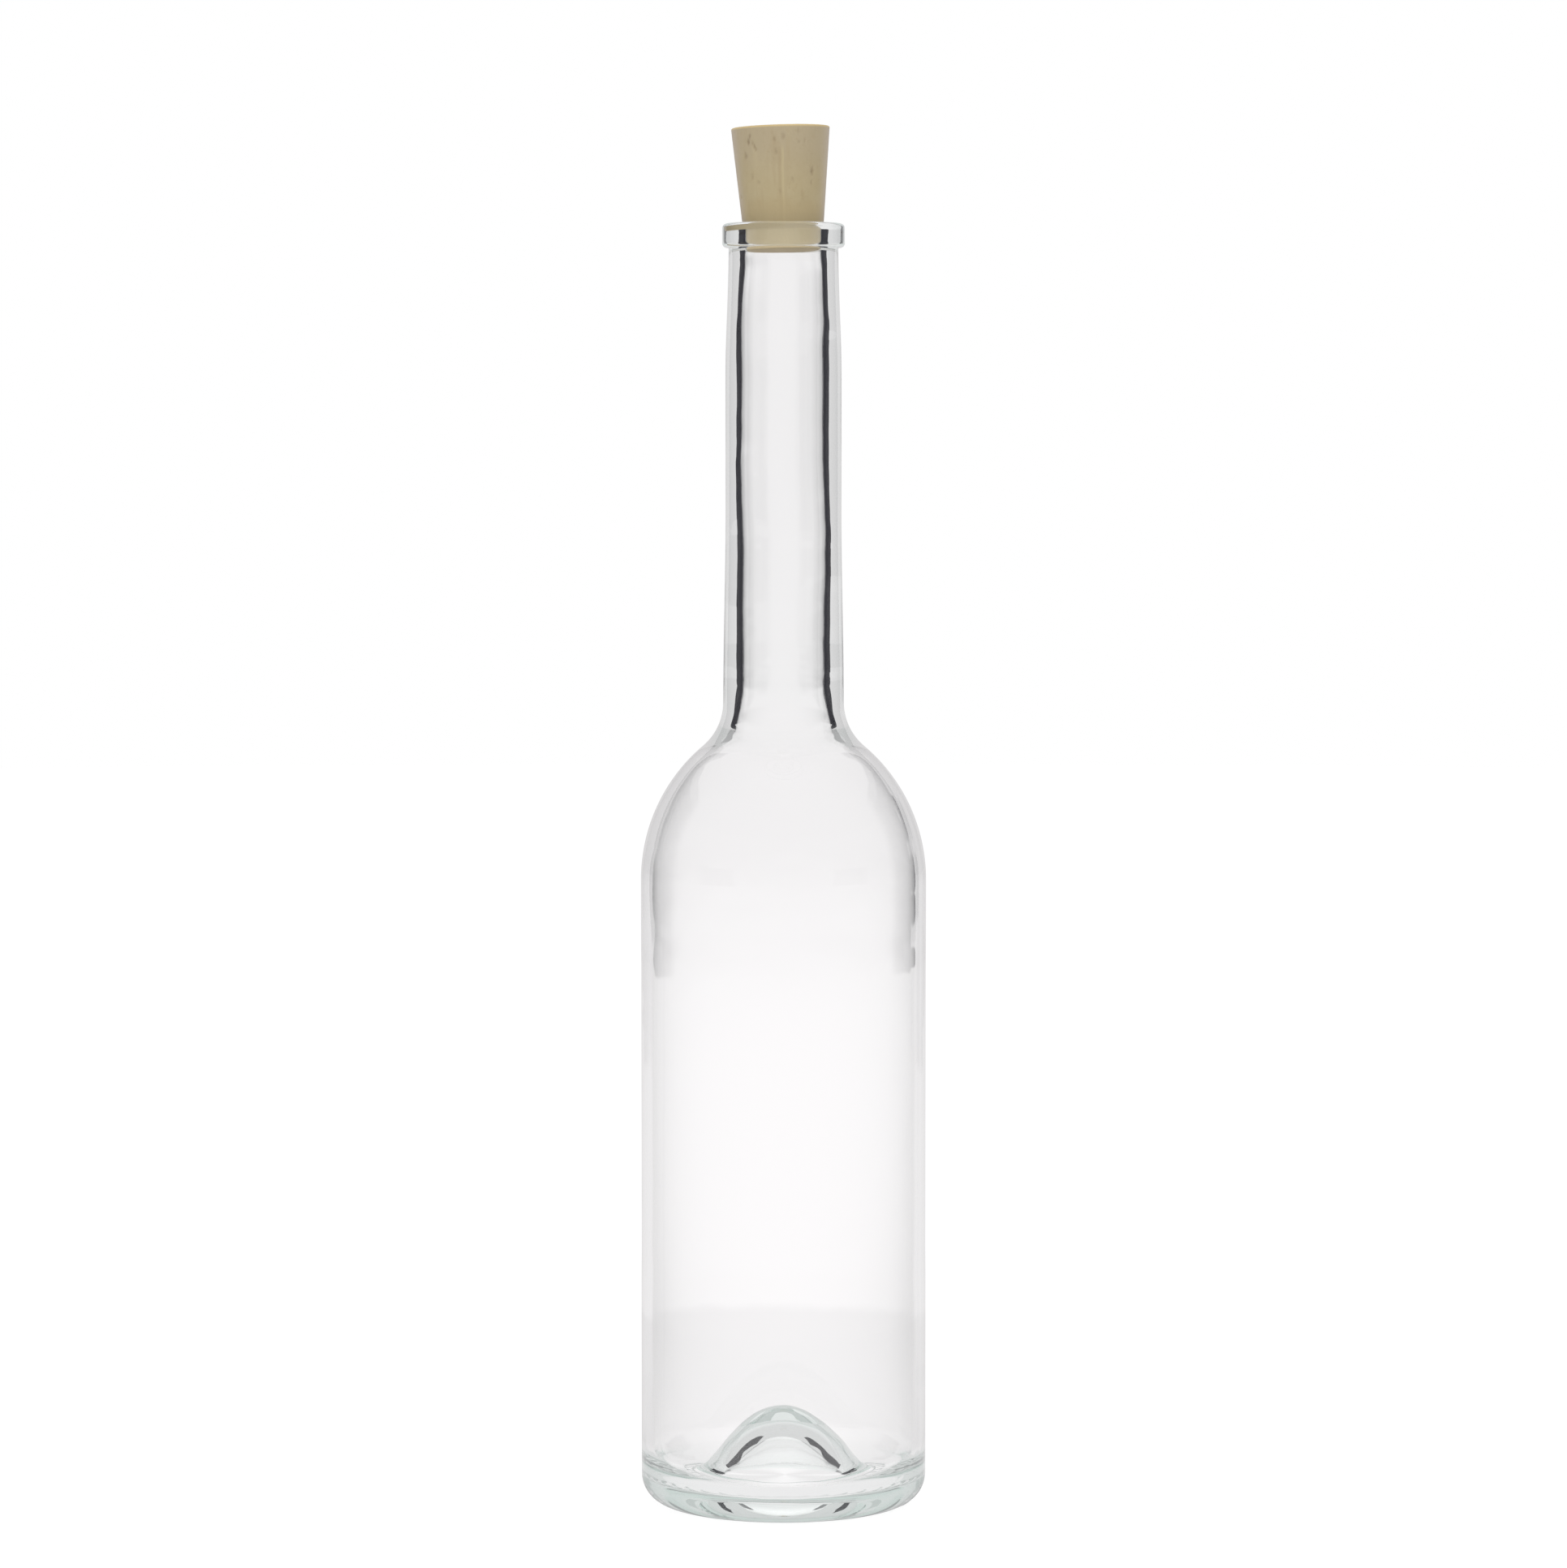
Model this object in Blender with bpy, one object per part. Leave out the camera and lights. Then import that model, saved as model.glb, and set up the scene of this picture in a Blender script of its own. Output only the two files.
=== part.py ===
# A clear glass bottle with a tapered natural cork pushed into its mouth.
# Metres, +Z up. The origin is the centre of the ring that the bottle stands on.
# The bottle is one moulded piece, open at the mouth, with a punt under it.

import math

import bmesh
import bpy

# Bottle, outside
bottle_height = 0.2711
body_radius = 0.0302
label_panel_depth = 0.0001
label_panel_bevel = 0.0012
lower_band_height = 0.0475
upper_band_height = 0.0120
heel_round = 0.0063
shoulder_base_height = 0.1329
shoulder_round = 0.0369
neck_foot_fillet = 0.0122
neck_foot_radius = 0.01275
neck_middle_radius = 0.01223
neck_top_radius = 0.01155
neck_swell_share = 0.42
neck_taper_share = 0.72

# Lip
lip_height = 0.0050
lip_overhang = 0.00135
lip_round = 0.0009
under_lip_fillet = 0.0003
mouth_round = 0.0015

# Bottle, inside
bore_mouth_radius = 0.00825
bore_middle_radius = 0.00862
bore_foot_radius = 0.00864
throat_fillet = 0.0150
shoulder_wall = 0.0021
body_wall = 0.0023
inner_heel_round = 0.0085
floor_thickness = 0.0047
floor_dome_height = 0.0201

# Underside
ring_width = 0.0038
ring_step_round = 0.0006
field_height = 0.0010
field_width = 0.0036
punt_height = 0.0152

# Cork
cork_length = 0.0256
cork_seat_depth = 0.0054
cork_top_radius = 0.01035
cork_squeeze = 0.00062
cork_squeeze_length = 0.0014
cork_plug_taper = 0.0001
cork_edge_round = 0.00035
cork_clearance = 0.00031
cork_tilt_degrees = 1.67

# Steps round each turned piece and along its curves
turn_steps = 48
cork_turn_steps = 48
heel_steps = 5
shoulder_steps = 9
fillet_steps = 5
neck_steps = 4
small_round_steps = 2
mouth_steps = 3
dome_steps = 8

# Points of an outline closer than this are one point
weld_distance = 0.00001
# Glass and cork look smooth except over edges sharper than this
sharp_degrees = 40

glass_colour = (0.86, 0.91, 0.89, 1.0)
glass_roughness = 0.03
glass_ior = 1.52
cork_colour = (0.47, 0.38, 0.22, 1.0)
cork_roughness = 0.85


def arc(centre_r, centre_z, radius, start, end, steps):
    """Points of a circular arc in the turning plane, both ends included."""
    angles = [math.radians(start + (end - start) * i / steps) for i in range(steps + 1)]
    return [(centre_r + radius * math.cos(a), centre_z + radius * math.sin(a)) for a in angles]


def bell(reach, foot_z, top_z, steps):
    """A cosine dome from its top on the axis down to its foot."""
    points = []
    for i in range(steps + 1):
        share = i / steps
        rise = (1 + math.cos(math.pi * share)) / 2
        points.append((reach * share, foot_z + (top_z - foot_z) * rise))
    return points


def ease(start, end, steps):
    """A smooth change of radius between two points, level at both."""
    points = []
    for i in range(steps + 1):
        share = i / steps
        blend = share * share * (3 - 2 * share)
        radius = start[0] + (end[0] - start[0]) * blend
        points.append((radius, start[1] + (end[1] - start[1]) * share))
    return points


def joined(*runs):
    """One outline from several runs, without the points that they share."""
    outline = []
    for run in runs:
        for point in run:
            if not outline or math.dist(outline[-1], point) > weld_distance:
                outline.append(point)
    return outline


def shoulder_join(neck_radius, fillet, dome_radius):
    """Where a fillet joins the neck's wall to the shoulder's dome: the fillet's centre, and its end angle."""
    centre_r = neck_radius + fillet
    reach = dome_radius + fillet
    sideways = centre_r - (body_radius - shoulder_round)
    centre_z = shoulder_base_height + math.sqrt(reach * reach - sideways * sideways)
    end_angle = math.degrees(math.acos(sideways / reach))
    return centre_r, centre_z, end_angle


def shoulder_curve(neck_radius, fillet, dome_radius):
    """The dome from its base up, and the fillet from there to the foot of the neck."""
    centre_r, centre_z, end_angle = shoulder_join(neck_radius, fillet, dome_radius)
    dome_r = body_radius - shoulder_round
    dome = arc(dome_r, shoulder_base_height, dome_radius, 0, end_angle, shoulder_steps)
    hollow = arc(centre_r, centre_z, fillet, 180 + end_angle, 180, fillet_steps)
    return joined(dome, hollow)


def neck_curve(foot, middle_radius, top):
    """The neck from its foot to its top, with an even stretch in the middle."""
    length = top[1] - foot[1]
    low = (middle_radius, foot[1] + length * neck_swell_share)
    high = (middle_radius, foot[1] + length * neck_taper_share)
    return joined(ease(foot, low, neck_steps), ease(high, top, neck_steps))


def bottle_outline():
    """The bottle's half section, from the axis under the punt round the outside to the axis above it."""
    lip_bottom = bottle_height - lip_height
    lip_radius = neck_top_radius + lip_overhang
    ring_outer = body_radius - heel_round
    ring_inner = ring_outer - ring_width
    panel_radius = body_radius - label_panel_depth

    punt = bell(ring_inner - field_width, field_height, punt_height, dome_steps)
    ring_edge_z = field_height - ring_step_round
    ring_step = arc(ring_inner - ring_step_round, ring_edge_z, ring_step_round, 90, 0, small_round_steps)
    heel = arc(ring_outer, heel_round, heel_round, -90, 0, heel_steps)
    ring = [(ring_inner, 0), (ring_outer, 0)]
    upper_band_foot = shoulder_base_height - upper_band_height
    bands = [
        (body_radius, lower_band_height),
        (panel_radius, lower_band_height + label_panel_bevel),
        (panel_radius, upper_band_foot - label_panel_bevel),
        (body_radius, upper_band_foot),
    ]
    shoulder = shoulder_curve(neck_foot_radius, neck_foot_fillet, shoulder_round)
    neck_end = (neck_top_radius, lip_bottom - under_lip_fillet)
    neck = neck_curve(shoulder[-1], neck_middle_radius, neck_end)
    under_lip = arc(
        neck_top_radius + under_lip_fillet, lip_bottom - under_lip_fillet,
        under_lip_fillet, 180, 90, small_round_steps,
    )
    lip_centre = lip_radius - lip_round
    lip = joined(
        arc(lip_centre, lip_bottom + lip_round, lip_round, -90, 0, mouth_steps),
        arc(lip_centre, bottle_height - lip_round, lip_round, 0, 90, mouth_steps),
    )
    mouth = arc(
        bore_mouth_radius + mouth_round, bottle_height - mouth_round,
        mouth_round, 90, 180, mouth_steps,
    )

    inner_radius = body_radius - body_wall
    inner_dome = shoulder_round - shoulder_wall
    throat = shoulder_curve(bore_foot_radius, throat_fillet, inner_dome)
    bore = neck_curve(throat[-1], bore_middle_radius, mouth[-1])
    inner_heel_centre = inner_radius - inner_heel_round
    inner_heel = arc(
        inner_heel_centre, floor_thickness + inner_heel_round,
        inner_heel_round, 0, -90, heel_steps,
    )
    floor = bell(inner_heel_centre, floor_thickness, floor_dome_height, dome_steps)
    inside = joined(reversed(bore), reversed(throat), inner_heel, reversed(floor))
    return joined(punt, ring_step, ring, heel, bands, shoulder, neck, under_lip, lip, mouth, inside)


def cork_outline():
    """The cork's half section about its own axis, with its zero height where it enters the mouth."""
    plug_radius = bore_mouth_radius - cork_clearance
    foot_radius = plug_radius - cork_plug_taper
    free_radius = plug_radius + cork_squeeze
    foot_z = -cork_seat_depth
    top_z = cork_length - cork_seat_depth
    lean = math.degrees(math.atan2(cork_top_radius - free_radius, top_z))
    foot = arc(foot_radius - cork_edge_round, foot_z + cork_edge_round, cork_edge_round, -90, 0, small_round_steps)
    waist = [(plug_radius, -cork_squeeze_length), (free_radius, 0)]
    top = arc(
        cork_top_radius - cork_edge_round, top_z - cork_edge_round,
        cork_edge_round, -lean, 90, small_round_steps,
    )
    return joined([(0, foot_z)], foot, waist, top, [(0, top_z)])


def turned(name, outline, steps):
    """A solid of revolution about Z from a half section that starts and ends on the axis."""
    shape = bmesh.new()
    points = [shape.verts.new((radius, 0, height)) for radius, height in outline]
    edges = [shape.edges.new(pair) for pair in zip(points, points[1:])]
    bmesh.ops.spin(
        shape, geom=points + edges, cent=(0, 0, 0), axis=(0, 0, 1),
        angle=math.tau, steps=steps, use_merge=True,
    )
    bmesh.ops.remove_doubles(shape, verts=shape.verts, dist=weld_distance)
    bmesh.ops.recalc_face_normals(shape, faces=shape.faces)
    mesh = bpy.data.meshes.new(name)
    shape.to_mesh(mesh)
    shape.free()
    mesh.shade_smooth()
    mesh.set_sharp_from_angle(angle=math.radians(sharp_degrees))
    piece = bpy.data.objects.new(name, mesh)
    bpy.context.scene.collection.objects.link(piece)
    return piece


def principled(name, colour, roughness):
    """A material with its shader, for the settings that only one piece has."""
    material = bpy.data.materials.new(name)
    material.use_nodes = True
    shader = material.node_tree.nodes["Principled BSDF"]
    shader.inputs["Base Color"].default_value = colour
    shader.inputs["Roughness"].default_value = roughness
    shader.inputs["Metallic"].default_value = 0
    return material, shader


def make_bottle():
    """The glass bottle, standing on its ring."""
    bottle = turned("glass_bottle", bottle_outline(), turn_steps)
    glass, shader = principled("clear_glass", glass_colour, glass_roughness)
    shader.inputs["Transmission Weight"].default_value = 1
    shader.inputs["IOR"].default_value = glass_ior
    bottle.data.materials.append(glass)
    return bottle


def make_cork():
    """The cork, turned about its own axis, which leans a little and crosses the bottle's in the plug."""
    cork = turned("cork_stopper", cork_outline(), cork_turn_steps)
    cork_material, _ = principled("natural_cork", cork_colour, cork_roughness)
    cork.data.materials.append(cork_material)
    tilt = math.radians(cork_tilt_degrees)
    half_plug = cork_seat_depth / 2
    cork.location = (
        -half_plug * math.sin(tilt),
        0,
        bottle_height - half_plug + half_plug * math.cos(tilt),
    )
    cork.rotation_euler = (0, -tilt, 0)
    return cork


def main():
    for old in list(bpy.data.objects):
        bpy.data.objects.remove(old, do_unlink=True)
    make_bottle()
    make_cork()
    bpy.context.view_layer.update()


main()
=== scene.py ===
import math

import bmesh
import bpy
from mathutils import Matrix, Vector


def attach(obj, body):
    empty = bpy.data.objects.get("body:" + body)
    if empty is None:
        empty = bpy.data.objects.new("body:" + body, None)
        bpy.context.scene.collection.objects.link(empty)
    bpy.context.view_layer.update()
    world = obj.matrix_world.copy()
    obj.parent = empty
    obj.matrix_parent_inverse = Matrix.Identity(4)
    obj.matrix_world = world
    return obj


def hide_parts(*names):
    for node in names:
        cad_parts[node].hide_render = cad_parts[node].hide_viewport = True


# A clear glass bottle with a tapered cork. Metres everywhere, +Z up, the viewer stands at -Y.

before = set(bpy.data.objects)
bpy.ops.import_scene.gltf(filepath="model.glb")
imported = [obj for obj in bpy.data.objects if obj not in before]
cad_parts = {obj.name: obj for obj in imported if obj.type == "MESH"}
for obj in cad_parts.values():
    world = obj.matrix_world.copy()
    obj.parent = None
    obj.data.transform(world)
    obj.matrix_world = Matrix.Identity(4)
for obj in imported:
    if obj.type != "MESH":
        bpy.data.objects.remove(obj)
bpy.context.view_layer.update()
scene = bpy.context.scene
print("frame loaded:", ", ".join(sorted(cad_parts)))

samePoint = 0.000005       # points of an outline closer than this are one
weldDistance = 0.000002    # and so are points of a turned mesh closer than this


# Small helpers for node trees

def addNode(tree, kind, inputs=None, **settings):
    made = tree.nodes.new(kind)
    for key, value in settings.items():
        setattr(made, key, value)
    for key, value in (inputs or {}).items():
        plug(tree, value, made.inputs[key])
    return made


def plug(tree, value, socket):
    if isinstance(value, bpy.types.NodeSocket):
        tree.links.new(value, socket)
    else:
        socket.default_value = value


def calc(tree, operation, *values):
    made = tree.nodes.new("ShaderNodeMath")
    made.operation = operation
    for socket, value in zip(made.inputs, values):
        plug(tree, value, socket)
    return made.outputs[0]


def calcVector(tree, operation, *values):
    made = tree.nodes.new("ShaderNodeVectorMath")
    made.operation = operation
    for socket, value in zip((s for s in made.inputs if s.enabled), values):
        plug(tree, value, socket)
    return next(s for s in made.outputs if s.enabled)


def splitVector(tree, vector):
    return addNode(tree, "ShaderNodeSeparateXYZ", {"Vector": vector}).outputs


def joinVector(tree, x, y, z):
    return addNode(tree, "ShaderNodeCombineXYZ", {"X": x, "Y": y, "Z": z}).outputs[0]


def atLeast(tree, depth, count):
    return calc(tree, "GREATER_THAN", depth, count - 0.5)


def lengthOf(tree, x, y):
    return calc(tree, "SQRT", calc(tree, "ADD", calc(tree, "POWER", x, 2.0), calc(tree, "POWER", y, 2.0)))


def scaled(tree, vector, factor):
    made = addNode(tree, "ShaderNodeVectorMath", {"Vector": vector, "Scale": factor}, operation="SCALE")
    return made.outputs["Vector"]


def ramp(tree, value, low, high, toLow=0.0, toHigh=1.0, smooth=True):
    made = addNode(tree, "ShaderNodeMapRange", {
        "Value": value, "From Min": low, "From Max": high, "To Min": toLow, "To Max": toHigh,
    }, interpolation_type="SMOOTHSTEP" if smooth else "LINEAR")
    return made.outputs["Result"]


def noise(tree, vector, scale, detail=2.0, roughness=0.5):
    made = addNode(tree, "ShaderNodeTexNoise", {
        "Vector": vector, "Scale": scale, "Detail": detail, "Roughness": roughness,
    })
    return made.outputs["Fac"]


def aroundZero(tree, fromNoise):
    return calc(tree, "SUBTRACT", fromNoise, 0.5)


def mixColour(tree, factor, first, second):
    return addNode(tree, "ShaderNodeMix", {0: factor, 6: first, 7: second}, data_type="RGBA").outputs[2]


def mixNumber(tree, factor, first, second):
    return addNode(tree, "ShaderNodeMix", {0: factor, 2: first, 3: second}, data_type="FLOAT").outputs[0]


def newMaterial(name):
    material = bpy.data.materials.new(name)
    material.use_nodes = True
    return material, material.node_tree


# Outlines in the turning plane: each point is (radius, height)

def arcRun(centreR, centreZ, radius, start, end, steps):
    angles = [math.radians(start + (end - start) * i / steps) for i in range(steps + 1)]
    return [(centreR + radius * math.cos(a), centreZ + radius * math.sin(a)) for a in angles]


def lineRun(start, end, steps):
    return [tuple(a + (b - a) * i / steps for a, b in zip(start, end)) for i in range(steps + 1)]


def domeRun(reach, footZ, topZ, slackness, steps):
    # 2 is a slack bell, 1 stands up steeply from its foot
    shares = [i / steps for i in range(steps)]
    run = [(reach * s, footZ + (topZ - footZ) * math.cos(math.pi * s / 2) ** slackness) for s in shares]
    return run + [(reach, footZ)]


def easeRun(start, end, steps):
    shares = [i / steps for i in range(steps + 1)]
    return [(start[0] + (end[0] - start[0]) * s * s * (3 - 2 * s), start[1] + (end[1] - start[1]) * s)
            for s in shares]


def limitedShare(distance, length):
    return min(max(distance / length, 0), 1)


def fromTable(table, x, column=1):
    # a smooth curve through a table's rows, sorted by their first number
    last = len(table) - 1
    x = min(max(x, table[0][0]), table[last][0])
    at = next(i for i in range(last) if x <= table[i + 1][0])

    def slope(i):
        a, b = table[max(i - 1, 0)], table[min(i + 1, last)]
        return (b[column] - a[column]) / (b[0] - a[0])

    low, high = table[at], table[at + 1]
    span = high[0] - low[0]
    u = (x - low[0]) / span
    rise = u * u * (3 - 2 * u)
    return (low[column] + (high[column] - low[column]) * rise
            + span * u * (1 - u) * (slope(at) * (1 - u) - slope(at + 1) * u))


def joinRuns(*runs):
    outline = []
    for run in runs:
        for point in run:
            if not outline or math.dist(outline[-1], point) > samePoint:
                outline.append(point)
    return outline


def outlineObject(name, points, weights):
    mesh = bpy.data.meshes.new(name)
    mesh.from_pydata([(r, 0, z) for r, z in points], [(i, i + 1) for i in range(len(points) - 1)], [])
    outward = mesh.attributes.new("outward", "FLOAT_VECTOR", "POINT")
    for i in range(len(points)):
        before, after = points[max(i - 1, 0)], points[min(i + 1, len(points) - 1)]
        along = Vector((after[0] - before[0], 0, after[1] - before[1])).normalized()
        side = Vector((along.z, 0, -along.x))
        if points[i][0] == 0:
            side = Vector((0, 0, math.copysign(1, side.z)))
        outward.data[i].vector = side
    for key, values in weights.items():
        layer = mesh.attributes.new(key, "FLOAT", "POINT")
        layer.data.foreach_set("value", values)
    made = bpy.data.objects.new(name, mesh)
    scene.collection.objects.link(made)
    return made


# The turning rule that both pieces share: a grid, one column for each step round and one row for
# each point of the outline, is laid round the axis and welded where it meets itself

def turnNodes(tree, outline, stepsAround):
    rows = addNode(tree, "GeometryNodeAttributeDomainSize", {"Geometry": outline}, component="MESH")
    rowCount = rows.outputs["Point Count"]
    columns = calc(tree, "ADD", stepsAround, 1)
    grid = addNode(tree, "GeometryNodeMeshGrid", {
        "Size X": 1.0, "Size Y": 1.0, "Vertices X": columns, "Vertices Y": rowCount,
    })
    position = addNode(tree, "GeometryNodeInputPosition").outputs[0]
    place = splitVector(tree, position)
    # the grid reaches half its size to each side, and its ends meet a quarter turn on, at the back
    half, quarter = 0.5, 0.25
    turn = calc(tree, "MULTIPLY", calc(tree, "ADD", place["X"], half + quarter), math.tau)
    share = calc(tree, "ADD", place["Y"], half)
    row = addNode(tree, "FunctionNodeFloatToInt", {
        0: calc(tree, "MULTIPLY", share, calc(tree, "SUBTRACT", rowCount, 1)),
    }, rounding_mode="ROUND").outputs[0]

    def fromOutline(field, kind="FLOAT"):
        made = addNode(tree, "GeometryNodeSampleIndex", data_type=kind, domain="POINT")
        plug(tree, outline, made.inputs["Geometry"])
        plug(tree, field, made.inputs["Value"])
        plug(tree, row, made.inputs["Index"])
        return made.outputs["Value"]

    def named(key, kind="FLOAT"):
        made = addNode(tree, "GeometryNodeInputNamedAttribute", {"Name": key}, data_type=kind)
        return fromOutline(made.outputs["Attribute"], kind)

    def turned(vector):
        made = addNode(tree, "ShaderNodeVectorRotate", rotation_type="Z_AXIS")
        plug(tree, vector, made.inputs["Vector"])
        plug(tree, turn, made.inputs["Angle"])
        return made.outputs["Vector"]

    onSurface = turned(fromOutline(position, "FLOAT_VECTOR"))
    outward = turned(named("outward", "FLOAT_VECTOR"))
    return grid.outputs["Mesh"], onSurface, outward, turn, named


def finishNodes(tree, grid, onSurface, outward, lift, weld):
    placed = addNode(tree, "GeometryNodeSetPosition", {
        "Geometry": grid,
        "Position": calcVector(tree, "ADD", onSurface, scaled(tree, outward, lift)),
    })
    welded = addNode(tree, "GeometryNodeMergeByDistance", {
        "Geometry": placed.outputs["Geometry"], "Distance": weld,
    })
    smooth = addNode(tree, "GeometryNodeSetShadeSmooth", {"Geometry": welded.outputs["Geometry"]})
    return smooth.outputs["Geometry"]


def treeWithInputs(name, inputs):
    kinds = {int: "Int", float: "Float", bpy.types.Object: "Object", bpy.types.Material: "Material"}
    tree = bpy.data.node_groups.new(name, "GeometryNodeTree")
    tree.interface.new_socket("Outline", in_out="INPUT", socket_type="NodeSocketGeometry")
    for key, value in inputs.items():
        tree.interface.new_socket(key, in_out="INPUT", socket_type="NodeSocket" + kinds[type(value)])
    tree.interface.new_socket("Piece", in_out="OUTPUT", socket_type="NodeSocketGeometry")
    start = tree.nodes.new("NodeGroupInput")
    return tree, start.outputs


def endTree(tree, geometry, material):
    realized = addNode(tree, "GeometryNodeRealizeInstances", {"Geometry": geometry})
    finished = addNode(tree, "GeometryNodeSetMaterial", {
        "Geometry": realized.outputs["Geometry"], "Material": material,
    })
    end = tree.nodes.new("NodeGroupOutput")
    tree.links.new(finished.outputs["Geometry"], end.inputs[0])


def meshFromTree(name, outline, tree, inputs):
    modifier = outline.modifiers.new("turning", "NODES")
    modifier.node_group = tree
    for item in tree.interface.items_tree:
        if item.in_out == "INPUT" and item.name in inputs:
            modifier[item.identifier] = inputs[item.name]
    evaluated = outline.evaluated_get(bpy.context.evaluated_depsgraph_get())
    mesh = bpy.data.meshes.new_from_object(evaluated)
    outline.modifiers.remove(modifier)
    bpy.data.objects.remove(outline)
    mesh.name = name
    shape = bmesh.new()
    shape.from_mesh(mesh)
    if shape.calc_volume(signed=True) < 0:
        bmesh.ops.reverse_faces(shape, faces=shape.faces)
    openEdges = sum(1 for e in shape.edges if not e.is_manifold)
    shape.to_mesh(mesh)
    volume = shape.calc_volume()
    shape.free()
    made = bpy.data.objects.new(name, mesh)
    scene.collection.objects.link(made)
    triangles = sum(len(p.vertices) - 2 for p in mesh.polygons)
    print(f"{name}: {triangles} triangles, {openEdges} open edges, {volume * 1e6:.1f} cm3")
    return made


# The glass bottle

bottle = dict(
    height=0.2711, bodyRadius=0.0302,
    panelDepth=0.00005, panelBevel=0.0080, lowerBand=0.0475, upperBand=0.0120,
    heelRound=0.0063, shoulderBase=0.1329, shoulderRound=0.0369,
    neckFillet=0.0122, neckFoot=0.01275, neckMiddle=0.01223, neckTop=0.01155,
    swellShare=0.42, taperShare=0.72,
    lipHeight=0.0050, lipOverhang=0.00135, lipRound=0.0009, underLip=0.0003, mouthRound=0.0015,
    boreMouth=0.0080, boreMiddle=0.0087, bodyWall=0.0023, innerHeel=0.0085,
    floorThickness=0.0044, floorDome=0.0206, floorReach=0.0190, floorSlackness=0.95,
    ringWidth=0.0030, ringStep=0.0006, fieldHeight=0.0010, fieldWidth=0.0073,
    puntHeight=0.0140, puntSlackness=0.75,
    stepsAround=192,
    # steps along each stretch of the outline
    steps=dict(punt=28, field=4, ringStep=4, ring=6, heel=14, lowerBand=10, bevel=6, panel=16, upperBand=4,
               shoulder=30, fillet=22, neck=60, underLip=4, lipFlat=2, lipRound=7, lipSide=6, mouth=8,
               bore=110, innerWall=56, innerHeel=14, floor=26, floorEdge=3),
    # waves on the inside, where no mould touched the glass: their heights, and how many to a metre
    longRipple=0.00006, shortRipple=0.00002, longWaves=90.0, shortWaves=260.0, wavesAlong=1.6,
    smoothMouth=0.008, mouthFade=0.012, axisFade=0.004,    # no waves in the mouth and on the axis
    floorRipple=4.0, roughTo=0.030, roughFade=0.014,       # the floor and the foot of the wall are rougher
    seamHeight=0.00007, seamWidth=0.0006, seamAngle=71.0, seamFromRing=0.001, seamToLip=0.002,
    partingHeight=0.00005, partingWidth=0.0006, partingZ=0.2623,
    barCount=32, barDepth=0.0003, barEdge=0.5, ringMargin=0.0001,
    seed=7.0,
    # how the glass looks: it tints light by its thickness and dims what the lamps send through it
    ior=1.52, roughness=0.0, absorb=(0.25, 0.66, 0.52, 1.0), density=5.5,
    lampTint=(0.92, 0.94, 0.93, 1.0), freedAtTurn=3,
    # how the bore wanders: height, wider by, further to the right by
    boreWander=(
        (0.1650, 0.0, 0.0), (0.1700, 0.0, 0.0), (0.1738, -0.00051, -0.00002),
        (0.1777, -0.00046, 0.0), (0.1826, -0.00045, -0.00003), (0.1874, -0.00032, -0.00001),
        (0.1922, -0.00019, 0.0), (0.1970, -0.00009, 0.00009), (0.2019, -0.00003, 0.00010),
        (0.2067, 0.00010, 0.00009), (0.2115, 0.00014, -0.00003), (0.2163, 0.00006, -0.00012),
        (0.2212, 0.00009, -0.00023), (0.2260, -0.00003, -0.00018), (0.2308, -0.00005, -0.00019),
        (0.2356, -0.00008, -0.00014), (0.2405, -0.00008, -0.00013), (0.2453, 0.0, -0.00019),
        (0.2501, 0.00018, -0.00013), (0.2549, 0.00018, -0.00012), (0.2596, 0.00013, -0.00005),
        (0.2622, 0.00007, 0.0), (0.2642, 0.00004, -0.00007), (0.2711, 0.0, 0.0),
    ),
    # thickness of the glass at distances down the shoulder from the neck's foot
    shoulderWalls=(
        (0.0, 0.0036), (0.0016, 0.0035), (0.0032, 0.0034), (0.0048, 0.00317), (0.0064, 0.0028),
        (0.0080, 0.0024), (0.0100, 0.0021), (0.0130, 0.00198), (0.0180, 0.0021), (0.0260, 0.0023),
        (0.0427, 0.0023),
    ),
)


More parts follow.
